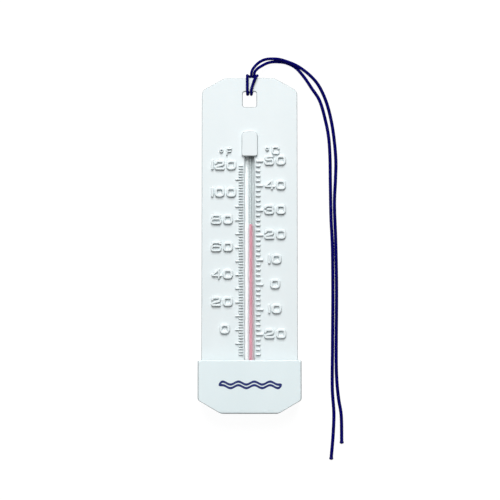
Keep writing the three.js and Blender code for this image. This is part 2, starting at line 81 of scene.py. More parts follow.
CUP_HALF_WIDTH = CUP_HIGH.x
CUP_BOTTOM_HALF_WIDTH = 15.95
CUP_CHAMFER_Y = CUP_LOW.y + 7.6
CUP_DEPTH = CUP_HIGH.z

FACE_Z = 9.6
FACE_THICKNESS = 1.8
SIDE_WALL = 1.6
PLATE_HALF_WIDTH = PLATE_HIGH.x
PLATE_TOP_HALF_WIDTH = 13.9
PLATE_CHAMFER_Y = PLATE_HIGH.y - 7.3
PLATE_CORNER_RADIUS = 4.6
PLATE_BACK_Z = PLATE_LOW.z
TAB_BACK_Z = 7.0
TAB_START_Y = 72.6
CHAMBER_TOP_Y = TAB_START_Y - SIDE_WALL
HOLE_HALF_WIDTH = 3.9
HOLE_BOTTOM_Y = 78.25
HOLE_TOP_Y = 87.1

CHANNEL_RADIUS = 2.9
CHANNEL_TOP_Y = 62.2
TUBE_RADIUS = TUBE_HIGH.x
TUBE_AXIS_Z = TUBE_HIGH.z - TUBE_RADIUS
HOOD_HALF_WIDTH = 4.5
HOOD_BOTTOM_Y = 49.9
HOOD_TOP_Y = 64
HOOD_FRONT_Z = PLATE_HIGH.z
HOOD_ROOT = 1.5        # how deep the hood's block goes into the plate
RAIL_X = 3.2
BED_BACK_Z = 3.75      # the bed that keeps the chamber's wall whole behind the channel
PIN_RADIUS = 2.6
PIN_MARK_DEPTH = 0.14
MOULDED_EDGE = 0.5     # the radius along the plate's and the hood's edges

BORE_X = (COLUMN_LOW.x + COLUMN_HIGH.x) / 2
BORE_RADIUS = 0.42
SPIRIT_RADIUS = (COLUMN_HIGH.z - COLUMN_LOW.z) / 2
CORE_SHARE = 0.5       # the radius of the spirit's deeper core, as a share of the column's

FAHRENHEIT_ZERO_Y = -48.5
FAHRENHEIT_DEGREE = 0.7732
CELSIUS_ZERO_Y = -23.1
CELSIUS_DEGREE = 1.402
RELIEF_HEIGHT = 1.3
RELIEF_ROOT = 0.12
RELIEF_LEAN = 0.22     # how far the relief leans towards the cup for each millimetre of its height
TICK_INNER_X = 3.6
MINOR_TICK = 2.6
CROWDED_FAHRENHEIT = (100, 120)     # their numerals leave no room for a long tick

CORD_DIAMETER = 1.6

# Which faces get the darker plastic, by the direction that they look in: painted shade on the rounded edges
# and on the relief's faces that look towards the cup.
EDGE_NORMAL_Z = (0.15, 0.97)     # a moulding's rounded edge has its normal's z between these
SHADED_NORMAL_Y = -0.3           # a relief face that looks towards the cup has its normal's y below this


# ---- mesh helpers ------------------------------------------------------------------------------

def mesh_object(name, parts):
    """One object from (vertices, faces, material index) parts, with faces turned outwards."""
    mesh = bpy.data.meshes.new(name)
    shape = bmesh.new()
    for vertices, faces, material_index in parts:
        made = [shape.verts.new(Vector(vertex) * MM) for vertex in vertices]
        for face in faces:
            shape.faces.new([made[i] for i in face]).material_index = material_index
    bmesh.ops.recalc_face_normals(shape, faces=shape.faces)
    shape.to_mesh(mesh)
    shape.free()
    piece = bpy.data.objects.new(name, mesh)
    bpy.context.scene.collection.objects.link(piece)
    return piece


def loft(loops, material_index=0, closed_ends=True):
    """The skin over loops of equally many points, with a flat face over each end."""
    count = len(loops[0])
    vertices = [point for loop in loops for point in loop]
    faces = []
    for level in range(len(loops) - 1):
        for i in range(count):
            low, low_next = level * count + i, level * count + (i + 1) % count
            faces.append((low, low_next, low_next + count, low + count))
    if closed_ends:
        faces.append(tuple(reversed(range(count))))
        faces.append(tuple(range(len(vertices) - count, len(vertices))))
    return vertices, faces, material_index


def smooth(piece, angle=35):
    for face in piece.data.polygons:
        face.use_smooth = True
    piece.data.set_sharp_from_angle(angle=math.radians(angle))
    normals = piece.modifiers.new("flat faces stay flat", "WEIGHTED_NORMAL")
    normals.keep_sharp = True


def bake_modifiers(piece):
    evaluated = piece.evaluated_get(bpy.context.evaluated_depsgraph_get())
    baked = bpy.data.meshes.new_from_object(evaluated)
    piece.modifiers.clear()
    piece.data = baked


def combine(piece, other, operation):
    """Cuts or joins one closed mesh by another, which is used up."""
    boolean = piece.modifiers.new(operation, "BOOLEAN")
    boolean.operation = operation
    boolean.solver = "EXACT"
    boolean.object = other
    bake_modifiers(piece)
    bpy.data.objects.remove(other)


def tidy_mesh(piece):
    shape = bmesh.new()
    shape.from_mesh(piece.data)
    bmesh.ops.remove_doubles(shape, verts=shape.verts, dist=0.002 * MM)
    bmesh.ops.dissolve_degenerate(shape, edges=shape.edges, dist=0.002 * MM)
    shape.to_mesh(piece.data)
    shape.free()


def join(main, others):
    """Adds the others' closed shells to the main object."""
    shape = bmesh.new()
    shape.from_mesh(main.data)
    for other in others:
        shape.from_mesh(other.data)
        bpy.data.objects.remove(other)
    shape.to_mesh(main.data)
    shape.free()


# ---- outlines ----------------------------------------------------------------------------------

def fillet(before, corner, after, radius, steps):
    """The points of one rounded corner."""
    to_before, to_after = before - corner, after - corner
    half_angle = to_before.angle(to_after) / 2
    room = 0.49 * min(to_before.length, to_after.length)
    reach = min(radius / math.tan(half_angle), room)
    start = corner + to_before.normalized() * reach
    end = corner + to_after.normalized() * reach
    shares = [k / steps for k in range(steps + 1)]
    return [start * (1 - t) ** 2 + corner * (2 * t * (1 - t)) + end * t * t for t in shares]


def inset_corner(before, corner, after, inset):
    into, out = (corner - before).normalized(), (after - corner).normalized()
    normal_in, normal_out = Vector((-into.y, into.x)), Vector((-out.y, out.x))
    return corner + (normal_in + normal_out) * (inset / (1 + normal_in.dot(normal_out)))


def outline(corners, inset=0.0, steps=6):
    """A convex outline, anticlockwise, through (x, y, radius) corners, moved inwards by inset."""
    points = [Vector(corner[:2]) for corner in corners]
    count = len(points)
    moved = [inset_corner(points[i - 1], points[i], points[(i + 1) % count], inset) for i in range(count)]
    result = []
    for i, (_, _, radius) in enumerate(corners):
        result += fillet(moved[i - 1], moved[i], moved[(i + 1) % count], max(radius - inset, 0.1), steps)
    return result


def at_height(points, z):
    return [(point.x, point.y, z) for point in points]


def rounded_slab(corners, low_z, high_z, edge, steps=4):
    """A plate with rounded edges all round."""
    quarter = [math.pi / 2 * k / steps for k in range(steps + 1)]
    rounding = [(edge * (1 - math.sin(a)), edge * (1 - math.cos(a))) for a in quarter]
    loops = [at_height(outline(corners, inset), low_z + rise) for inset, rise in rounding]
    loops += [at_height(outline(corners, inset), high_z - rise) for inset, rise in reversed(rounding)]
    return loft(loops)


def mirrored(corners):
    """The right half's corners, bottom to top, and the left half's to match."""
    return corners + [(-x, y, radius) for x, y, radius in reversed(corners)]


def rectangle(half_width, low_y, high_y, radius):
    return mirrored([(half_width, low_y, radius), (half_width, high_y, radius)])


def lower_corners(inset):
    """The cup's lower right corners, moved inwards: ((bottom x, y), (side x, y))."""
    slope = (CUP_CHAMFER_Y - CUP_LOW.y) / (CUP_HALF_WIDTH - CUP_BOTTOM_HALF_WIDTH)
    rise = inset * math.hypot(1, slope)
    bottom = (CUP_BOTTOM_HALF_WIDTH + (inset - rise) / slope, CUP_LOW.y + inset)
    side = (CUP_HALF_WIDTH - inset, CUP_CHAMFER_Y + rise - slope * inset)
    return bottom, side


def plate_corners():
    bottom, side = lower_corners(WALL + FIT_GAP)
    return mirrored([
        (*bottom, 1),
        (PLATE_HALF_WIDTH, side[1], 1),
        (PLATE_HALF_WIDTH, PLATE_CHAMFER_Y, PLATE_CORNER_RADIUS),
        (PLATE_TOP_HALF_WIDTH, PLATE_HIGH.y, PLATE_CORNER_RADIUS),
    ])


def chamber_corners(inset):
    bottom, side = lower_corners(WALL + FIT_GAP + SIDE_WALL + inset)
    return mirrored([(*bottom, 1), (*side, 1), (side[0], CHAMBER_TOP_Y - inset, 1)])


def ring_y(radius, y, x, z, sides):
    angles = [2 * math.pi * k / sides for k in range(sides)]
    return [(x + radius * math.sin(a), y, z + radius * math.cos(a)) for a in angles]


def turned(profile, x, z, sides=48, material_index=0):
    """A turned piece along Y from (radius, y) points; the ends close flat."""
    return loft([ring_y(radius, y, x, z, sides) for radius, y in profile], material_index)


# ---- materials ---------------------------------------------------------------------------------

class Nodes:
    """A short way to build one material's node tree."""

    def __init__(self, name):
        self.material = bpy.data.materials.new(name)
        self.material.use_nodes = True
        self.tree = self.material.node_tree
        self.tree.nodes.clear()
        self.output = self.add("ShaderNodeOutputMaterial")

    def add(self, kind, **settings):
        node = self.tree.nodes.new(kind)
        for key, value in settings.items():
            setattr(node, key, value)
        return node

    def link(self, source, target):
        self.tree.links.new(source, target)

    def noise(self, scale, detail=3.0, roughness=0.5, stretch=(1, 1, 1)):
        place = self.add("ShaderNodeTexCoord")
        mapping = self.add("ShaderNodeMapping")
        mapping.inputs["Scale"].default_value = stretch
        self.link(place.outputs["Object"], mapping.inputs["Vector"])
        noise = self.add("ShaderNodeTexNoise")
        noise.inputs["Scale"].default_value = scale
        noise.inputs["Detail"].default_value = detail
        noise.inputs["Roughness"].default_value = roughness
        self.link(mapping.outputs["Vector"], noise.inputs["Vector"])
        return noise.outputs["Fac"]

    def ramp(self, source, low, high, colours=None):
        """The source stretched to run between two values, or between two colours."""
        if colours is None:
            spread = self.add("ShaderNodeMapRange")
            spread.inputs["From Min"].default_value = 0.3
            spread.inputs["From Max"].default_value = 0.7
            spread.inputs["To Min"].default_value = low
            spread.inputs["To Max"].default_value = high
            self.link(source, spread.inputs["Value"])
            return spread.outputs["Result"]
        blend = self.add("ShaderNodeValToRGB")
        blend.color_ramp.elements[0].position = low
        blend.color_ramp.elements[0].color = (*colours[0], 1)
        blend.color_ramp.elements[1].position = high
        blend.color_ramp.elements[1].color = (*colours[1], 1)
        self.link(source, blend.inputs["Fac"])
        return blend.outputs["Color"]

    def bump(self, source, depth_mm, strength=1.0, below=None):
        bump = self.add("ShaderNodeBump")
        bump.inputs["Strength"].default_value = strength
        bump.inputs["Distance"].default_value = depth_mm * MM
        self.link(source, bump.inputs["Height"])
        if below is not None:
            self.link(below, bump.inputs["Normal"])
        return bump.outputs["Normal"]

    def principled(self, **values):
        shader = self.add("ShaderNodeBsdfPrincipled")
        for name, value in values.items():
            socket = shader.inputs[name.replace("_", " ")]
            if isinstance(value, bpy.types.NodeSocket):
                self.link(value, socket)
            else:
                socket.default_value = value
        self.link(shader.outputs["BSDF"], self.output.inputs["Surface"])
        return shader


def moulded_plastic(name, tint, darker):
    """White moulded plastic: faint flow mottling, fine mould grain and uneven gloss."""
    nodes = Nodes(name)
    flow = nodes.noise(38, detail=2, stretch=(1, 0.45, 1))
    grain = nodes.noise(5200, detail=2, roughness=0.6)
    ripple = nodes.noise(210, detail=2)
    normal = nodes.bump(grain, 0.012, 0.35)
    normal = nodes.bump(ripple, 0.03, 0.5, below=normal)
    nodes.principled(
        Base_Color=nodes.ramp(flow, 0.3, 0.7, (darker, tint)),
        Roughness=nodes.ramp(ripple, 0.46, 0.58),
        IOR=1.5,
        Normal=normal,
        Subsurface_Weight=0.08,
        Subsurface_Radius=(1.2 * MM, 1.4 * MM, 1.5 * MM),
        Subsurface_Scale=1.0,
    )
    return nodes.material


def let_light_through(nodes, shader, colour):
    """Shadow rays pass, tinted, so that lamps reach what is inside or behind."""
    clear = nodes.add("ShaderNodeBsdfTransparent")
    clear.inputs["Color"].default_value = (*colour, 1)
    path = nodes.add("ShaderNodeLightPath")
    mix = nodes.add("ShaderNodeMixShader")
    nodes.link(path.outputs["Is Shadow Ray"], mix.inputs["Fac"])
    nodes.link(shader.outputs["BSDF"], mix.inputs[1])
    nodes.link(clear.outputs["BSDF"], mix.inputs[2])
    nodes.link(mix.outputs["Shader"], nodes.output.inputs["Surface"])


def clear_glass():
    """Drawn glass that bends what is seen through it and lets lamps reach what is inside."""
    nodes = Nodes("clear glass")
    draw = nodes.noise(60, detail=1, stretch=(1, 0.05, 1))
    glass = nodes.principled(
        Base_Color=(0.96, 0.98, 0.98, 1),
        Roughness=nodes.ramp(draw, 0.0, 0.015),
        IOR=1.48,
        Transmission_Weight=1.0,
    )
    let_light_through(nodes, glass, (0.96, 0.975, 0.975))
    return nodes.material


def enamel():
    """A white stripe, lighter on the tube's left and greyer on its right: a painted highlight on the left
    half and painted shade on the right half.
    """
    nodes = Nodes("white enamel")
    flow = nodes.noise(160, detail=2, stretch=(1, 0.04, 1))
    place = nodes.add("ShaderNodeTexCoord")
    across = nodes.add("ShaderNodeSeparateXYZ")
    nodes.link(place.outputs["Object"], across.inputs["Vector"])
    # Painted highlight and shade: the stripe's colour runs from light on the left to grey on the right,
    # across the tube.
    painted_side_light = nodes.add("ShaderNodeMapRange")
    painted_side_light.inputs["From Min"].default_value = -0.75 * MM
    painted_side_light.inputs["From Max"].default_value = -0.3 * MM
    nodes.link(across.outputs["X"], painted_side_light.inputs["Value"])
    nodes.principled(
        Base_Color=nodes.ramp(painted_side_light.outputs["Result"], 0.0, 1.0, ((0.75, 0.79, 0.8), (0.38, 0.41, 0.42))),
        Roughness=nodes.ramp(flow, 0.3, 0.4),
    )
    return nodes.material


def spirit(name, colour, deeper, alpha):
    nodes = Nodes(name)
    drift = nodes.noise(120, detail=2, stretch=(1, 0.2, 1))
    dyed = nodes.principled(
        Base_Color=nodes.ramp(drift, 0.3, 0.7, (deeper, colour)),
        Roughness=nodes.ramp(drift, 0.12, 0.22),
        Alpha=alpha,
    )
    let_light_through(nodes, dyed, (1.0, 0.86, 0.88))
    return nodes.material


def printed_ink():
    nodes = Nodes("navy ink")
    film = nodes.noise(900, detail=3)
    nodes.principled(
        Base_Color=nodes.ramp(film, 0.35, 0.65, ((0.004, 0.012, 0.11), (0.006, 0.02, 0.17))),
        Roughness=nodes.ramp(film, 0.35, 0.5),
        Normal=nodes.bump(film, 0.01, 0.4),
    )
    return nodes.material


def cord_fibre(name, light, dark, roughness):
    nodes = Nodes(name)
    fibres = nodes.noise(6000, detail=3, roughness=0.65)
    wear = nodes.noise(260, detail=2)
    both = nodes.add("ShaderNodeMath", operation="MULTIPLY")
    nodes.link(fibres, both.inputs[0])
    nodes.link(nodes.ramp(wear, 0.8, 1.2), both.inputs[1])
    nodes.principled(
        Base_Color=nodes.ramp(both.outputs["Value"], 0.25, 0.75, (dark, light)),
        Roughness=roughness,
        Normal=nodes.bump(fibres, 0.06, 0.7),
        Specular_IOR_Level=0.04,
    )
    return nodes.material


def steel():
    nodes = Nodes("ballast steel")
    drawn = nodes.noise(900, detail=3, stretch=(1, 0.05, 1))
    nodes.principled(
        Base_Color=nodes.ramp(drawn, 0.3, 0.7, ((0.42, 0.43, 0.44), (0.58, 0.59, 0.6))),
        Metallic=1.0,
        Roughness=nodes.ramp(drawn, 0.28, 0.45),
        Normal=nodes.bump(drawn, 0.02, 0.3),
    )
    return nodes.material


def foam():
    nodes = Nodes("cushion foam")
    cells = nodes.noise(3500, detail=4, roughness=0.7)
    nodes.principled(
        Base_Color=nodes.ramp(cells, 0.3, 0.7, ((0.6, 0.6, 0.57), (0.8, 0.8, 0.77))),
        Roughness=0.9,
        Normal=nodes.bump(cells, 0.1, 0.8),
    )
    return nodes.material


def finish_piece(piece, slot, body, *materials):
    """Gives a piece its materials and the body that it rides on. Its slot argument is not used."""
    for material in materials:
        piece.data.materials.append(material)
    if body is not None:
        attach(piece, body)


# ---- camera ------------------------------------------------------------------------------------

CAMERA_TILT = math.radians(3.6)
CAMERA_DISTANCE = 785
CAMERA_TARGET = Vector((0.23, -3.32, FACE_Z))


def make_camera():
    lens = bpy.data.cameras.new("camera")
    lens.lens = 100
    lens.sensor_width = 36
    camera = bpy.data.objects.new("camera", lens)
    away = Vector((0, -math.sin(CAMERA_TILT), math.cos(CAMERA_TILT)))
    camera.location = (CAMERA_TARGET + away * CAMERA_DISTANCE) * MM
    camera.rotation_euler = (CAMERA_TILT, 0, 0)
    bpy.context.scene.collection.objects.link(camera)
    bpy.context.scene.camera = camera


# ---- cord --------------------------------------------------------------------------------------

# One cord, hitched through the hole by its middle. Each half starts at the middle of the bight, goes
# down the face, back through the hole, up behind the tab and out over its top edge inside the bight,
# and then lies along the surface beside the thermometer.
BIGHT = [(1.55, 96.5, 4.1)]
LEFT_LEG = [
    (0.3, 96.5, 4.5), (-0.85, 96.55, 5.8), (-1.25, 96.6, 7.6), (-1.3, 96.3, 9.3), (-1.3, 95.4, 10.5),
    (-1.3, 94.0, 10.9), (-1.3, 91.0, 10.6), (-1.3, 88.1, 10.8), (-1.25, 86.3, 10.05), (-1.15, 85.6, 8.3),
    (-0.9, 86.3, 6.55), (-0.5, 88.1, 5.8), (0.8, 93.6, 5.85), (0.95, 95.2, 6.1), (1.0, 96.5, 7.1),
]
RIGHT_LEG = [
    (2.8, 96.5, 4.5), (4.0, 96.55, 5.8), (4.4, 96.5, 7.6), (4.25, 96.2, 9.3), (3.7, 95.4, 10.5),
    (2.9, 94.0, 10.9), (1.9, 91.2, 10.6), (1.05, 88.2, 10.8), (0.95, 86.3, 10.05), (0.95, 85.6, 8.3),
    (1.1, 86.3, 6.55), (1.5, 88.1, 5.8), (2.45, 93.6, 5.85), (2.6, 95.2, 6.1), (2.65, 96.5, 7.1),
]
OUTER_TAIL = [
    (1.02, 96.73, 7.3), (1.1, 98.2, 7.9), (1.8, 100.2, 7.9), (4.5, 103.6, 6.9), (7.3, 105.7, 5.6),
    (10.0, 106.8, 4.2), (13.5, 107.2, 3.1), (17.2, 107.0, 2.6), (21.3, 105.8, 2.5), (25.8, 104.0, 2.5),
    (29.5, 102.0, 1.9), (35.1, 97.7, 0.85), (39.5, 92.5, 0.85), (43.8, 83.4, 0.85), (46.9, 71.8, 0.85),
    (48.7, 59.4, 0.85), (49.5, 47.8, 0.85), (49.2, 37.4, 0.85), (48.6, 24.2, 0.85), (49.2, 3.0, 0.85),
    (49.6, -22.8, 0.85), (49.4, -73.9, 0.85), (50.5, -87.2, 0.85), (51.9, -96.0, 0.85),
    (52.2, -112.9, 0.85),
]
INNER_TAIL = [
    (2.67, 96.73, 7.3), (2.9, 98.5, 7.9), (4.5, 100.6, 7.4), (7.3, 102.8, 5.5), (10.0, 104.5, 3.8),
    (12.8, 105.5, 2.2), (16.4, 105.8, 1.1), (20.7, 105.3, 0.85), (26.3, 102.6, 0.85), (31.3, 97.1, 0.85),
    (35.6, 90.7, 0.85), (40.1, 83.7, 0.85), (43.6, 71.8, 0.85), (45.4, 62.0, 0.85), (46.1, 51.3, 0.85),
    (46.3, 34.6, 0.85), (46.6, 15.6, 0.85), (47.3, 0.1, 0.85), (47.5, -25.6, 0.85), (47.2, -56.9, 0.85),
    (47.0, -82.4, 0.85), (47.8, -95.4, 0.85), (47.4, -106.7, 0.85), (46.1, -121.9, 0.85),
]

LAY_LENGTH = 5.2       # one turn of the three strands
RING_STEP = 0.42
RING_SIDES = 18
TIP_LENGTH = 2.2       # the stretch at each end that was melted to stop it fraying
TIGHT_LENGTH = 34      # the stretch that the hitch pulls thin
LOOSENING = 56         # the stretch after it over which the lay opens


def spline_point(p0, p1, p2, p3, t):
    """A centripetal Catmull-Rom curve between p1 and p2."""
    d1, d2, d3 = (p1 - p0).length ** 0.5, (p2 - p1).length ** 0.5, (p3 - p2).length ** 0.5
    slope1 = ((p1 - p0) / d1 - (p2 - p0) / (d1 + d2) + (p2 - p1) / d2) * d2
    slope2 = ((p2 - p1) / d2 - (p3 - p1) / (d2 + d3) + (p3 - p2) / d3) * d2
    a = (p1 - p2) * 2 + slope1 + slope2
    b = (p2 - p1) * 3 - slope1 * 2 - slope2
    return ((a * t + b) * t + slope1) * t + p1


def smooth_route(points, step):
    """The curve through the points, resampled at even steps."""
    knots = [Vector(point) for point in points]
    knots = [knots[0] * 2 - knots[1]] + knots + [knots[-1] * 2 - knots[-2]]
    fine = [knots[1]]
    for i in range(1, len(knots) - 2):
        fine += [spline_point(*knots[i - 1:i + 3], k / 24) for k in range(1, 25)]
    lengths = [0.0]
    for before, after in zip(fine, fine[1:]):
        lengths.append(lengths[-1] + (after - before).length)
    count = max(2, round(lengths[-1] / step))
    even, at = [], 0
    for k in range(count + 1):
        wanted = lengths[-1] * k / count
        while at < len(fine) - 2 and lengths[at + 1] < wanted:
            at += 1
        share = (wanted - lengths[at]) / (lengths[at + 1] - lengths[at])
        even.append(fine[at].lerp(fine[at + 1], share))
    return even, lengths[-1]


def cord_section(distance, length, angle):
    """How far the cord's surface is from its middle: three laid strands, melted together at the tip."""
    phase = 2 * math.pi * distance / LAY_LENGTH
    lobe = abs(math.cos(1.5 * (angle - phase))) ** 0.7
    loose = min(1.0, max(0.0, (distance - TIGHT_LENGTH) / LOOSENING))
    strands = CORD_DIAMETER / 2 * (0.95 + 0.09 * lobe + 0.2 * loose)
    left = length - distance
    if left > TIP_LENGTH:
        return strands
    melted = 1 - left / TIP_LENGTH
    swelling = 0.45 * math.sin(math.pi * melted ** 1.5)
    bead = CORD_DIAMETER / 2 * (1.1 + swelling + 0.06 * math.sin(3 * angle + 1))
    closing = math.sqrt(max(0.0, 1 - max(0.0, melted - 0.7) ** 2 / 0.09)) * 0.93 + 0.07
    share = min(1.0, melted * 2.5)
    return (strands * (1 - share) + bead * share) * closing


def lying(point):
    """Cord pressed flat where it would go below the surface it lies on."""
    return (point.x, point.y, max(point.z, 0.01))


def make_cord(name, points, nodes_replaced, materials):
    route, length = smooth_route(points, RING_STEP)
    step = length / (len(route) - 1)
    loops = []
    side = Vector((0, 0, 1))
    for i, point in enumerate(route):
        along = (route[min(i + 1, len(route) - 1)] - route[max(i - 1, 0)]).normalized()
        side = (side - along * side.dot(along)).normalized()
        other = along.cross(side)
        angles = [2 * math.pi * k / RING_SIDES for k in range(RING_SIDES)]
        reaches = [cord_section(i * step, length, angle) for angle in angles]
        loops.append([
            lying(point + (side * math.cos(angle) + other * math.sin(angle)) * reach)
            for angle, reach in zip(angles, reaches)
        ])
    cord = mesh_object(name, [loft(loops)])
    tip_start = len(route) - round(TIP_LENGTH * 0.9 / step)
    for face in cord.data.polygons:
        face.use_smooth = True
        if min(face.vertices) >= tip_start * RING_SIDES:
            face.material_index = 1
    finish_piece(cord, "navy_cord", ROOT, *materials)
    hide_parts(*nodes_replaced)


def make_cords():
    fibre = cord_fibre("navy cord", (0.0015, 0.0008, 0.145), (0.001, 0.0005, 0.06), 0.8)
    melted = cord_fibre("melted cord end", (0.008, 0.006, 0.14), (0.003, 0.002, 0.07), 0.28)
    for name, leg, tail, tail_node in (
        ("cord_outer_half", LEFT_LEG, OUTER_TAIL, "cord_tail_outer"),
        ("cord_inner_half", RIGHT_LEG, INNER_TAIL, "cord_tail_inner"),
    ):
        make_cord(name, BIGHT + leg + tail, ["cord_hitch", tail_node], (fibre, melted))


# ---- raised scale ------------------------------------------------------------------------------

RING = [(-1, -0.98), (1, -0.98), (1, 0.98), (-1, 0.98)]
# Each sign is a list of strokes on a grid from -1 to 1 both ways: (points, corner radius, is a ring).
SIGNS = {
    "0": [(RING, 1.5, True)],
    "1": [([(0, 1), (0, -1)], 0, False)],
    "2": [([(-1, 0.45), (-0.8, 1), (1, 1), (0.95, 0.1), (-1, -0.35), (-1, -1), (1, -1)], 0.95, False)],
    "3": [
        ([(-1, 0.5), (-0.8, 1), (1, 1), (0.95, 0.08), (-0.35, 0.08)], 0.95, False),
        ([(-0.1, 0.08), (1, 0.02), (1, -1), (-0.85, -1), (-1, -0.5)], 0.95, False),
    ],
    "4": [([(0.68, 1), (0.68, -1)], 0, False), ([(0.55, 0.98), (-1.12, -0.38), (1.2, -0.42)], 0.4, False)],
    "5": [([(0.9, 1), (-0.82, 1), (-0.9, 0.12), (1, 0.25), (1, -1), (-0.85, -1), (-1, -0.55)], 0.9, False)],
    "6": [
        ([(-1.08, -1), (1.08, -1), (1.08, 0.12), (-1.08, 0.12)], 1.1, True),
        ([(1.05, 0.72), (0.7, 1), (-0.75, 1), (-1.08, 0.35), (-1.08, -0.5)], 0.9, False),
    ],
    "8": [
        ([(-1.1, -1), (1.1, -1), (1.1, 0.1), (-1.1, 0.1)], 1.1, True),
        ([(-0.95, 0.12), (0.95, 0.12), (0.95, 1), (-0.95, 1)], 0.9, True),
    ],
    "F": [([(-0.8, -1), (-0.8, 1), (1, 1)], 0.3, False), ([(-0.8, 0.05), (0.75, 0.05)], 0, False)],
    "C": [([(1, 0.5), (0.9, 1), (-1, 1), (-1, -1), (0.9, -1), (1, -0.5)], 1.3, False)],
}
DIGIT_WIDTH = 5.7
DIGIT_HEIGHT = 5.6
DIGIT_STROKE = 1.45
CLOSE_STROKE = 1.15    # a thinner line for the signs with small openings
CLOSE_SIGNS = ("4", "6", "8")
NUMERAL_RISE = 0.5     # the numerals sit a little above their ticks
DIGIT_ADVANCE = 6.6
NARROW_ADVANCE = 4.1

FAHRENHEIT_NUMERAL_X = {1: -14.0, 2: -15.6, 3: -14.5}     # by how many digits the numeral has
CELSIUS_NUMERAL_X = 14.4
# The letters and their degree rings: (sign, centre x, centre y, width, height, line thickness).
UNIT_SIGNS = [
    ("F", -11.8, 52.4, 3.6, 4.1, 0.9),
    ("0", -16.0, 52.9, 2.1, 2.1, 0.6),
    ("C", 14.8, 53.1, 4.4, 4.6, 1.0),
    ("0", 10.0, 54.0, 2.1, 2.1, 0.6),
]

# A stroke's section, from the face up: (how much its half width changes, share of the height).
STROKE_SECTION = [
    (0.22, 0.0), (0.07, 0.07), (0.0, 0.25), (-0.03, 0.6), (-0.1, 0.83), (-0.22, 0.96), (-0.36, 1.0),
]


def rounded_path(points, radius, is_ring, steps=5):
    points = [Vector(point) for point in points]
    count = len(points)
    result = []
    for i, corner in enumerate(points):
        if not is_ring and i in (0, count - 1):
            result.append(corner)
        else:
            result += fillet(points[i - 1], corner, points[(i + 1) % count], radius, steps)
    return result


def directions(points, is_ring):
    """The unit vector to the left of the path at each of its points."""
    count = len(points)
    result = []
    for i in range(count):
        before = points[(i - 1) % count] if is_ring else points[max(i - 1, 0)]
        after = points[(i + 1) % count] if is_ring else points[min(i + 1, count - 1)]
        along = (after - before).normalized()
        result.append(Vector((-along.y, along.x)))
    return result


def stroke(points, is_ring, half_width, height, cap_steps=6):
    """One raised stroke with rounded shoulders, as a closed shell that starts just under the face."""
    lefts = directions(points, is_ring)
    levels = [(half_width + 0.22, -RELIEF_ROOT)]
    levels += [(half_width + change, height * share) for change, share in STROKE_SECTION]

    def skirt(edge):
        return [
            [
                (*(point + way * reach + Vector((0, (RELIEF_HEIGHT - rise) * RELIEF_LEAN))), FACE_Z + rise)
                for point, way in edge
            ]
            for reach, rise in levels
        ]

    if is_ring:
        outer = skirt(list(zip(points, [-left for left in lefts])))
        inner = skirt(list(zip(points, lefts)))
        return loft(outer + list(reversed(inner)) + [outer[0]], closed_ends=False)

    def cap(centre, start):
        """Points round one end, turning from the start direction through half a turn, clockwise."""
        ways = []
        for k in range(1, cap_steps):
            cosine, sine = math.cos(-math.pi * k / cap_steps), math.sin(-math.pi * k / cap_steps)
            ways.append(Vector((start.x * cosine - start.y * sine, start.x * sine + start.y * cosine)))
        return [(centre, way) for way in ways]

    edge = list(zip(points, lefts)) + cap(points[-1], lefts[-1])
    edge += [(point, -left) for point, left in reversed(list(zip(points, lefts)))]
    edge += cap(points[0], -lefts[0])
    vertices, faces, index = loft(skirt(edge), closed_ends=False)
    count, run = len(edge), len(points)
    for base, flip in ((0, True), (len(vertices) - count, False)):
        strip = []
        for i in range(run - 1):
            mate = 2 * run + cap_steps - 2 - i
            strip.append((base + i, base + mate, base + mate - 1, base + i + 1))
        strip.append(tuple(base + k for k in range(run - 1, run + cap_steps)))
        strip.append((base,) + tuple(base + k for k in range(2 * run + cap_steps - 2, count)))
        faces += [tuple(reversed(face)) for face in strip] if flip else strip
    return vertices, faces, index


def sign(name, centre_x, centre_y, width, height, thickness):
    half_x, half_y = (width - thickness) / 2, (height - thickness) / 2
    parts = []
    for number, (points, radius, is_ring) in enumerate(SIGNS[name]):
        placed = [(centre_x + x * half_x, centre_y + y * half_y) for x, y in points]
        path = rounded_path(placed, radius * width / DIGIT_WIDTH, is_ring)
        # Crossing strokes differ a little in height, so that their tops never share a plane.
        parts.append(stroke(path, is_ring, thickness / 2, RELIEF_HEIGHT - 0.02 * number))
    return parts


def numeral(value, centre_x, centre_y):
    digits = str(abs(value))
    advances = [NARROW_ADVANCE if digit == "1" else DIGIT_ADVANCE for digit in digits[:-1]]
    lead = (DIGIT_ADVANCE - NARROW_ADVANCE) / 2 if digits[0] == "1" else 0
    x = centre_x - sum(advances) / 2 - lead
    parts = []
    for digit, advance in zip(digits, advances + [0]):
        thickness = CLOSE_STROKE if digit in CLOSE_SIGNS else DIGIT_STROKE
        parts += sign(digit, x, centre_y, DIGIT_WIDTH, DIGIT_HEIGHT, thickness)
        x += advance
    return parts


def tick_comb(side, zero_y, degree, low, high, major_length, half_thickness, height, crowded=()):
    """Every second degree, longer at each tenth unless its numeral crowds the comb."""
    parts = []
    for degrees in range(low, high + 1, 2):
        length = major_length if degrees % 10 == 0 and degrees not in crowded else MINOR_TICK
        y = zero_y + degrees * degree
        reaches = (half_thickness, length - half_thickness)
        ends = [Vector((side * (TICK_INNER_X + reach), y)) for reach in reaches]
        parts.append(stroke(ends, False, half_thickness, height))
    return parts


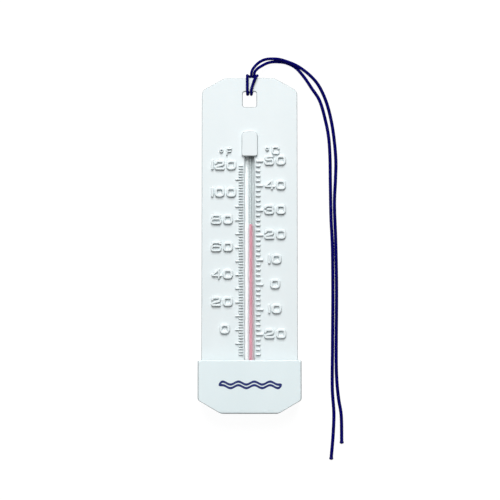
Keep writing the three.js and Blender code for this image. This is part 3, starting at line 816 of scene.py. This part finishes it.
def raised_scale():
    parts = tick_comb(
        -1, FAHRENHEIT_ZERO_Y, FAHRENHEIT_DEGREE, low=-18, high=120,
        major_length=4.5, half_thickness=0.36, height=1.05, crowded=CROWDED_FAHRENHEIT,
    )
    parts += tick_comb(
        1, CELSIUS_ZERO_Y, CELSIUS_DEGREE, low=-28, high=50,
        major_length=4.2, half_thickness=0.56, height=1.25,
    )
    for value in range(0, 121, 20):
        centre_x = FAHRENHEIT_NUMERAL_X[len(str(value))]
        parts += numeral(value, centre_x, FAHRENHEIT_ZERO_Y + value * FAHRENHEIT_DEGREE + NUMERAL_RISE)
    for value in range(-20, 51, 10):
        parts += numeral(value, CELSIUS_NUMERAL_X, CELSIUS_ZERO_Y + value * CELSIUS_DEGREE + NUMERAL_RISE)
    for unit_sign in UNIT_SIGNS:
        parts += sign(*unit_sign)
    for side in (-1, 1):
        rail = [Vector((side * RAIL_X, CUP_HIGH.y + 1)), Vector((side * RAIL_X, HOOD_BOTTOM_Y + 1))]
        parts.append(stroke(rail, False, 0.2, 0.5))
    return mesh_object("raised_scale", parts)


# ---- moulded pieces ----------------------------------------------------------------------------

def channel_cutter():
    """The tube's groove, round at its bottom and straight up to the face."""
    low_y, above_face = CUP_LOW.y + 4.15, FACE_Z + 0.7
    around = [math.pi * k / 24 for k in range(25)]
    loop = [(CHANNEL_RADIUS * math.cos(a), TUBE_AXIS_Z - CHANNEL_RADIUS * math.sin(a)) for a in around]
    loop += [(-CHANNEL_RADIUS, above_face), (CHANNEL_RADIUS, above_face)]
    loops = [[(x, y, z) for x, z in loop] for y in (low_y, HOOD_BOTTOM_Y)]
    return mesh_object("channel_cutter", [loft(loops)])


def pocket_cutter():
    """The blind hole in the hood that takes the end of the tube."""
    radius = CHANNEL_RADIUS - 0.06
    profile = [(radius, HOOD_BOTTOM_Y - 1), (radius, CHANNEL_TOP_Y)]
    return mesh_object("pocket_cutter", [turned(profile, 0, TUBE_AXIS_Z)])


def hole_cutter():
    """The square cord hole, flared a little at both faces of the tab."""
    corners = rectangle(HOLE_HALF_WIDTH, HOLE_BOTTOM_Y, HOLE_TOP_Y, 1.3)
    flare = 0.45
    back = [(-1.2, -0.6), (-flare, -0.02), (-flare * 0.3, flare * 0.3), (0, flare)]
    levels = [(inset, TAB_BACK_Z + depth) for inset, depth in back]
    levels += [(inset, FACE_Z - depth) for inset, depth in reversed(back)]
    loops = [at_height(outline(corners, inset), z) for inset, z in levels]
    return mesh_object("hole_cutter", [loft(loops)])


def is_rounded_edge(face):
    low, high = EDGE_NORMAL_Z
    return low < face.normal.z < high


def make_hood():
    corners = mirrored([(HOOD_HALF_WIDTH, HOOD_BOTTOM_Y, 1.2), (HOOD_HALF_WIDTH, HOOD_TOP_Y, 2.6)])
    return mesh_object("hood", [rounded_slab(corners, FACE_Z - HOOD_ROOT, HOOD_FRONT_Z, MOULDED_EDGE)])


def make_plate(plastic, painted_shade):
    """The front moulding, with its chamber, thin tab, channel, hood, cord hole and raised scale."""
    slab = rounded_slab(plate_corners(), PLATE_BACK_Z, FACE_Z, MOULDED_EDGE)
    plate = mesh_object("scale_plate_moulding", [slab])
    chamber_heights = (PLATE_BACK_Z - 1, FACE_Z - FACE_THICKNESS)
    chamber = [at_height(outline(chamber_corners(0)), z) for z in chamber_heights]
    combine(plate, mesh_object("chamber_cutter", [loft(chamber)]), "DIFFERENCE")
    behind_tab = rectangle(40, TAB_START_Y, 120, 0.6)     # reaches well past the plate's edges
    tab = rounded_slab(behind_tab, PLATE_BACK_Z - 5, TAB_BACK_Z, MOULDED_EDGE)
    combine(plate, mesh_object("tab_cutter", [tab]), "DIFFERENCE")
    bed_outline = outline(rectangle(4.4, -91.8, CHAMBER_TOP_Y + 0.5, 0.5))
    bed = [at_height(bed_outline, z) for z in (BED_BACK_Z, FACE_Z - 1)]
    combine(plate, mesh_object("channel_bed", [loft(bed)]), "UNION")
    combine(plate, channel_cutter(), "DIFFERENCE")
    combine(plate, make_hood(), "UNION")
    combine(plate, pocket_cutter(), "DIFFERENCE")
    combine(plate, hole_cutter(), "DIFFERENCE")
    # Painted shade: the rounded edges of the plate and the hood get the darker plastic, which draws a grey
    # outline round them.
    for face in plate.data.polygons:
        if is_rounded_edge(face):
            face.material_index = 1
    scale = raised_scale()
    # Painted shade: the relief's faces that look towards the cup get the darker plastic.
    for face in scale.data.polygons:
        if face.normal.y < SHADED_NORMAL_Y:
            face.material_index = 1
    join(plate, [scale])
    tidy_mesh(plate)
    smooth(plate)
    finish_piece(plate, "white_plastic", ROOT, plastic, painted_shade)
    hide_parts("scale_plate")


def section_loop(y, half_width, low_z, high_z, radius, steps=5):
    """A rounded rectangle across the cup at one height."""
    corners = [(half_width, low_z, radius), (half_width, high_z, radius)]
    corners += [(-half_width, high_z, radius), (-half_width, low_z, radius)]
    return [(point.x, y, point.y) for point in outline(corners, steps=steps)]


def cup_side(inset, y):
    """The cup's half width at one height, for its outer face or a face inside it."""
    bottom, side = lower_corners(inset)
    share = min(1.0, max(0.0, (y - bottom[1]) / (side[1] - bottom[1])))
    return bottom[0] + (side[0] - bottom[0]) * share


def make_cup(plastic, painted_shade):
    """The open scoop: up the outside from its bottom, over the rolled rim, and down the inside."""
    edge, lip, steps = 0.9, 0.55, 4
    quarter = [math.pi / 2 * k / steps for k in range(steps + 1)]
    bottom_y, rim_y = CUP_LOW.y, CUP_HIGH.y
    loops = []
    for a in quarter:
        y = bottom_y + edge * (1 - math.cos(a))
        inset = edge * (1 - math.sin(a))
        loops.append(section_loop(y, cup_side(0, y) - inset * 0.7, inset, CUP_DEPTH - inset, edge))
    for y in (bottom_y + 2, CUP_CHAMFER_Y - 2.2, CUP_CHAMFER_Y - 0.7):
        loops.append(section_loop(y, cup_side(0, y), 0, CUP_DEPTH, edge))
    loops.append(section_loop(CUP_CHAMFER_Y - 0.1, CUP_HALF_WIDTH - 0.38, 0, CUP_DEPTH, edge))
    loops.append(section_loop(CUP_CHAMFER_Y + 0.6, CUP_HALF_WIDTH - 0.1, 0, CUP_DEPTH, edge))
    loops.append(section_loop(CUP_CHAMFER_Y + 1.4, CUP_HALF_WIDTH, 0, CUP_DEPTH, edge))
    for a in quarter:
        inset = lip * (1 - math.cos(a))
        y = rim_y - lip + lip * math.sin(a)
        corner = 0.5 * (1 - math.cos(a))
        half_width = CUP_HALF_WIDTH - inset - corner
        loops.append(section_loop(y, half_width, inset, CUP_DEPTH - inset, edge))
    for a in reversed(quarter):
        inset = WALL - lip * 0.7 * (1 - math.cos(a))
        y = rim_y - lip * 0.7 + lip * 0.7 * math.sin(a)
        loops.append(section_loop(y, CUP_HALF_WIDTH - inset, inset, CUP_DEPTH - inset, 0.6))
    inner_bottom, inner_side = lower_corners(WALL)
    for y in (inner_side[1] + 1, inner_side[1] - 0.3, inner_bottom[1] + 0.8, inner_bottom[1]):
        loops.append(section_loop(y, cup_side(WALL, y) - 0.15, WALL, CUP_DEPTH - WALL, 0.6))
    cup = mesh_object("reservoir_cup_moulding", [loft(loops)])
    # Painted shade: the cup's rounded edges below its rim get the darker plastic.
    for face in cup.data.polygons:
        if is_rounded_edge(face) and face.center.y < (rim_y - 1) * MM:
            face.material_index = 1
    smooth(cup, 40)
    finish_piece(cup, "cup_plastic", ROOT, plastic, painted_shade)
    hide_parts("reservoir_cup")


def make_cover(plastic):
    """The back moulding: a flange round a shallow pan, whose hollow opens into the chamber."""
    flange_top = PLATE_BACK_Z + SIDE_WALL
    flange = rounded_slab(chamber_corners(ASSEMBLY_GAP), PLATE_BACK_Z, flange_top, 0.3)
    cover = mesh_object("back_cover_moulding", [flange])
    pan = rectangle(21, -63.5, 67, 4)
    combine(cover, mesh_object("pan", [rounded_slab(pan, COVER_LOW.z, flange_top - 0.05, 0.8)]), "UNION")
    pocket = [at_height(outline(pan, SIDE_WALL), z) for z in (COVER_LOW.z + SIDE_WALL, flange_top + 1)]
    combine(cover, mesh_object("pan_cutter", [loft(pocket)]), "DIFFERENCE")
    # Ejector pins leave shallow round marks in the moulding's back.
    for x in (-14, 14):
        for y in (-52, -8, 55):
            pin = outline(pin_corners(x, y, PIN_RADIUS))
            mark = [at_height(pin, z) for z in (-0.5, PIN_MARK_DEPTH)]
            combine(cover, mesh_object("pin_cutter", [loft(mark)]), "DIFFERENCE")
    tidy_mesh(cover)
    smooth(cover)
    finish_piece(cover, "white_plastic", ROOT, plastic)
    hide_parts("back_cover")


def pin_corners(x, y, radius):
    return [(x + dx * radius, y + dy * radius, radius) for dx, dy in ((1, -1), (1, 1), (-1, 1), (-1, -1))]


# ---- tube --------------------------------------------------------------------------------------

def make_tube(glass, white):
    radius, bottom_y, top_y = TUBE_RADIUS, TUBE_LOW.y, TUBE_HIGH.y
    dome = [math.pi / 2 * k / 6 for k in range(7)]
    profile = [(max(0.05, radius * math.sin(a)), bottom_y + 2.2 * (1 - math.cos(a))) for a in dome]
    profile += [(radius, bottom_y + 14), (radius, top_y - 1)]
    profile += [(radius - 0.5 * (1 - math.cos(a)), top_y - 0.5 + 0.5 * math.sin(a)) for a in dome]
    tube = mesh_object("glass_tube_drawn", [turned(profile, 0, TUBE_AXIS_Z, sides=64)])
    bore = turned([(BORE_RADIUS, COLUMN_LOW.y), (BORE_RADIUS, top_y - 4)], BORE_X, TUBE_AXIS_Z, sides=24)
    combine(tube, mesh_object("bore_cutter", [bore]), "DIFFERENCE")
    smooth(tube, 50)
    finish_piece(tube, "clear_glass", ROOT, glass)
    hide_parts("glass_tube")

    # The strip is a segment of the tube's back, with its flat side just behind the bore.
    reach = radius - 0.15
    flat_depth = TUBE_AXIS_Z - ENAMEL_HIGH.z
    half_turn = math.acos(flat_depth / reach)
    turns = [math.pi + half_turn * (k / 8 - 1) for k in range(17)]
    section = [(reach * math.sin(a), TUBE_AXIS_Z + reach * math.cos(a)) for a in turns]
    backing = [[(x, y, z) for x, z in section] for y in (ENAMEL_LOW.y, ENAMEL_HIGH.y - 1)]
    strip = mesh_object("enamel_strip", [loft(backing)])
    smooth(strip, 50)
    finish_piece(strip, "white_enamel", ROOT, white)
    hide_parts("enamel_backing")


def make_spirit(sleeve, core):
    """The thread of spirit: a pale sleeve where little of it is looked through, round a deeper core."""
    level_y = LEVEL_HIGH.y
    steps = 40
    for name, low_y, high_y, node in (
        ("spirit_thread", COLUMN_LOW.y, level_y - 1.2, "spirit_column"),
        ("spirit_top", level_y - 1.2, level_y, "spirit_meniscus"),
    ):
        parts = []
        for radius, index in ((SPIRIT_RADIUS, 0), (SPIRIT_RADIUS * CORE_SHARE, 1)):
            profile = [(radius, low_y + (high_y - low_y) * k / steps) for k in range(steps)]
            if node == "spirit_meniscus":
                profile = [(radius, low_y), (radius, high_y - 0.5), (radius * 0.85, high_y - 0.2)]
                profile += [(radius * 0.5, high_y - 0.04), (0.03, high_y)]
            else:
                profile.append((radius, high_y))
            parts.append(turned(profile, BORE_X, TUBE_AXIS_Z, sides=24, material_index=index))
        piece = mesh_object(name, parts)
        smooth(piece, 60)
        if node == "spirit_column":
            finish_piece(piece, "red_spirit", None, sleeve, core)
            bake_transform(piece)
        else:
            finish_piece(piece, "red_spirit", MOVER, sleeve, core)
        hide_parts(node)


def make_bulb(core):
    low, high = BULB_LOW, BULB_HIGH
    radius = (high.x - low.x) / 2
    # The bulb's outline: (share of its radius, share of its length).
    shape = [(0.06, 0.0), (0.45, 0.015), (0.8, 0.06), (1.0, 0.16)]
    shape += [(1.0, 0.72), (0.8, 0.84), (0.45, 0.95), (0.3, 1.0)]
    profile = [(radius * wide, low.y + (high.y - low.y) * share) for wide, share in shape]
    bulb = mesh_object("bulb_fill", [turned(profile, 0, TUBE_AXIS_Z, sides=40)])
    smooth(bulb, 60)
    finish_piece(bulb, "red_spirit", ROOT, core)
    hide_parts("bulb_spirit")


# ---- printed mark ------------------------------------------------------------------------------

def make_mark(ink):
    """Two waves that meet in round ends, printed on the front of the cup."""
    centre = (MARK_LOW + MARK_HIGH) / 2
    half_length = (MARK_HIGH.x - MARK_LOW.x) / 2
    amplitude, half_band, half_slot, steps = 0.8, 1.65, 0.32, 120

    def wave(x):
        return centre.y + amplitude * math.sin(x / half_length * math.pi * 4)

    def reach(x, length, end, half):
        into = max(0.0, (abs(x) - length + end) / end)
        return half * math.sqrt(max(0.0, 1 - into * into))

    rows = []
    for k in range(steps + 1):
        x = half_length * math.sin(math.pi * (k / steps - 0.5)) * 0.9995
        outer = reach(x, half_length, 2.4, half_band)
        slot = reach(x, half_length - 1.6, 0.8, half_slot)
        rows.append([(centre.x + x, wave(x) + side) for side in (-outer, -slot, slot, outer)])
    parts = []
    for lower, upper in ((0, 1), (2, 3)):
        loops = [
            [(*row[lower], CUP_DEPTH - 0.03), (*row[upper], CUP_DEPTH - 0.03),
             (*row[upper], CUP_DEPTH + 0.05), (*row[lower], CUP_DEPTH + 0.05)]
            for row in rows
        ]
        parts.append(loft(loops))
    mark = mesh_object("printed_wave", parts)
    finish_piece(mark, "navy_ink", ROOT, ink)
    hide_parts("printed_mark")


# ---- lights and floor --------------------------------------------------------------------------

ROOM_LIGHT = 0.09


def area_light(name, towards, distance, size, power):
    lamp = bpy.data.lights.new(name, "AREA")
    lamp.shape = "RECTANGLE"
    lamp.size, lamp.size_y = size
    lamp.energy = power
    light = bpy.data.objects.new(name, lamp)
    direction = Vector(towards).normalized()
    light.location = direction * distance
    light.rotation_euler = direction.to_track_quat("Z", "Y").to_euler()
    bpy.context.scene.collection.objects.link(light)


def make_studio():
    """A dim room, a white backdrop, a high lamp beyond the hitched end and a weak one to the left."""
    world = bpy.data.worlds.new("studio")
    world.use_nodes = True
    tree = world.node_tree
    dim_room = tree.nodes["Background"]
    dim_room.inputs["Color"].default_value = (1, 1, 1, 1)
    dim_room.inputs["Strength"].default_value = ROOM_LIGHT
    backdrop = tree.nodes.new("ShaderNodeBackground")
    backdrop.inputs["Color"].default_value = (1, 1, 1, 1)
    path = tree.nodes.new("ShaderNodeLightPath")
    mix = tree.nodes.new("ShaderNodeMixShader")
    tree.links.new(path.outputs["Is Camera Ray"], mix.inputs["Fac"])
    tree.links.new(dim_room.outputs["Background"], mix.inputs[1])
    tree.links.new(backdrop.outputs["Background"], mix.inputs[2])
    tree.links.new(mix.outputs["Shader"], tree.nodes["World Output"].inputs["Surface"])
    bpy.context.scene.world = world
    bpy.context.scene.view_settings.view_transform = "Standard"
    area_light("key_from_cord_end", towards=(0.0, 0.85, 1.0), distance=2.4, size=(1.4, 2.0), power=71)
    area_light("left_softbox", towards=(-0.7, 0.0, 1.0), distance=1.1, size=(0.5, 0.9), power=2.2)

    nodes = Nodes("pale floor")
    cloud = nodes.noise(3, detail=2)
    nodes.principled(
        Base_Color=nodes.ramp(cloud, 0.3, 0.7, ((0.09, 0.09, 0.09), (0.1, 0.1, 0.1))),
        Roughness=0.9,
        Emission_Color=(1, 1, 1, 1),
        Emission_Strength=0.94,
    )
    size = 3000
    corners = [(-size, -size, 0), (size, -size, 0), (size, size, 0), (-size, size, 0)]
    floor = mesh_object("floor", [(corners, [(0, 1, 2, 3)], 0)])
    floor.data.materials.append(nodes.material)


# ---- everything --------------------------------------------------------------------------------

def give_material(node, material):
    """A CAD node that stays gets its finish in every slot."""
    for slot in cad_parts[node].material_slots:
        slot.material = material


make_camera()
make_cords()
PLATE_PLASTIC = moulded_plastic("white plastic", (0.77, 0.83, 0.845), (0.745, 0.81, 0.825))
CUP_PLASTIC = moulded_plastic("cup plastic", (0.765, 0.855, 0.875), (0.73, 0.825, 0.845))
# The darker plastic is painted shade, about half as bright as the plastic, for the rounded edges and the
# relief's cup-facing faces.
PAINTED_SHADE_PLASTIC = moulded_plastic("painted shade edges", (0.4, 0.44, 0.45), (0.33, 0.37, 0.38))
make_plate(PLATE_PLASTIC, PAINTED_SHADE_PLASTIC)
make_cup(CUP_PLASTIC, PAINTED_SHADE_PLASTIC)
make_cover(PLATE_PLASTIC)
make_tube(clear_glass(), enamel())
SPIRIT_CORE = spirit("spirit core", (0.3, 0.035, 0.08), (0.25, 0.025, 0.065), 1.0)
make_spirit(spirit("spirit sleeve", (0.86, 0.46, 0.54), (0.82, 0.42, 0.50), 0.42), SPIRIT_CORE)
make_bulb(SPIRIT_CORE)
make_mark(printed_ink())
give_material("tube_strap", CUP_PLASTIC)
give_material("tube_end_cushion", foam())
STEEL = steel()
give_material("ballast_bar_left", STEEL)
give_material("ballast_bar_right", STEEL)
make_studio()
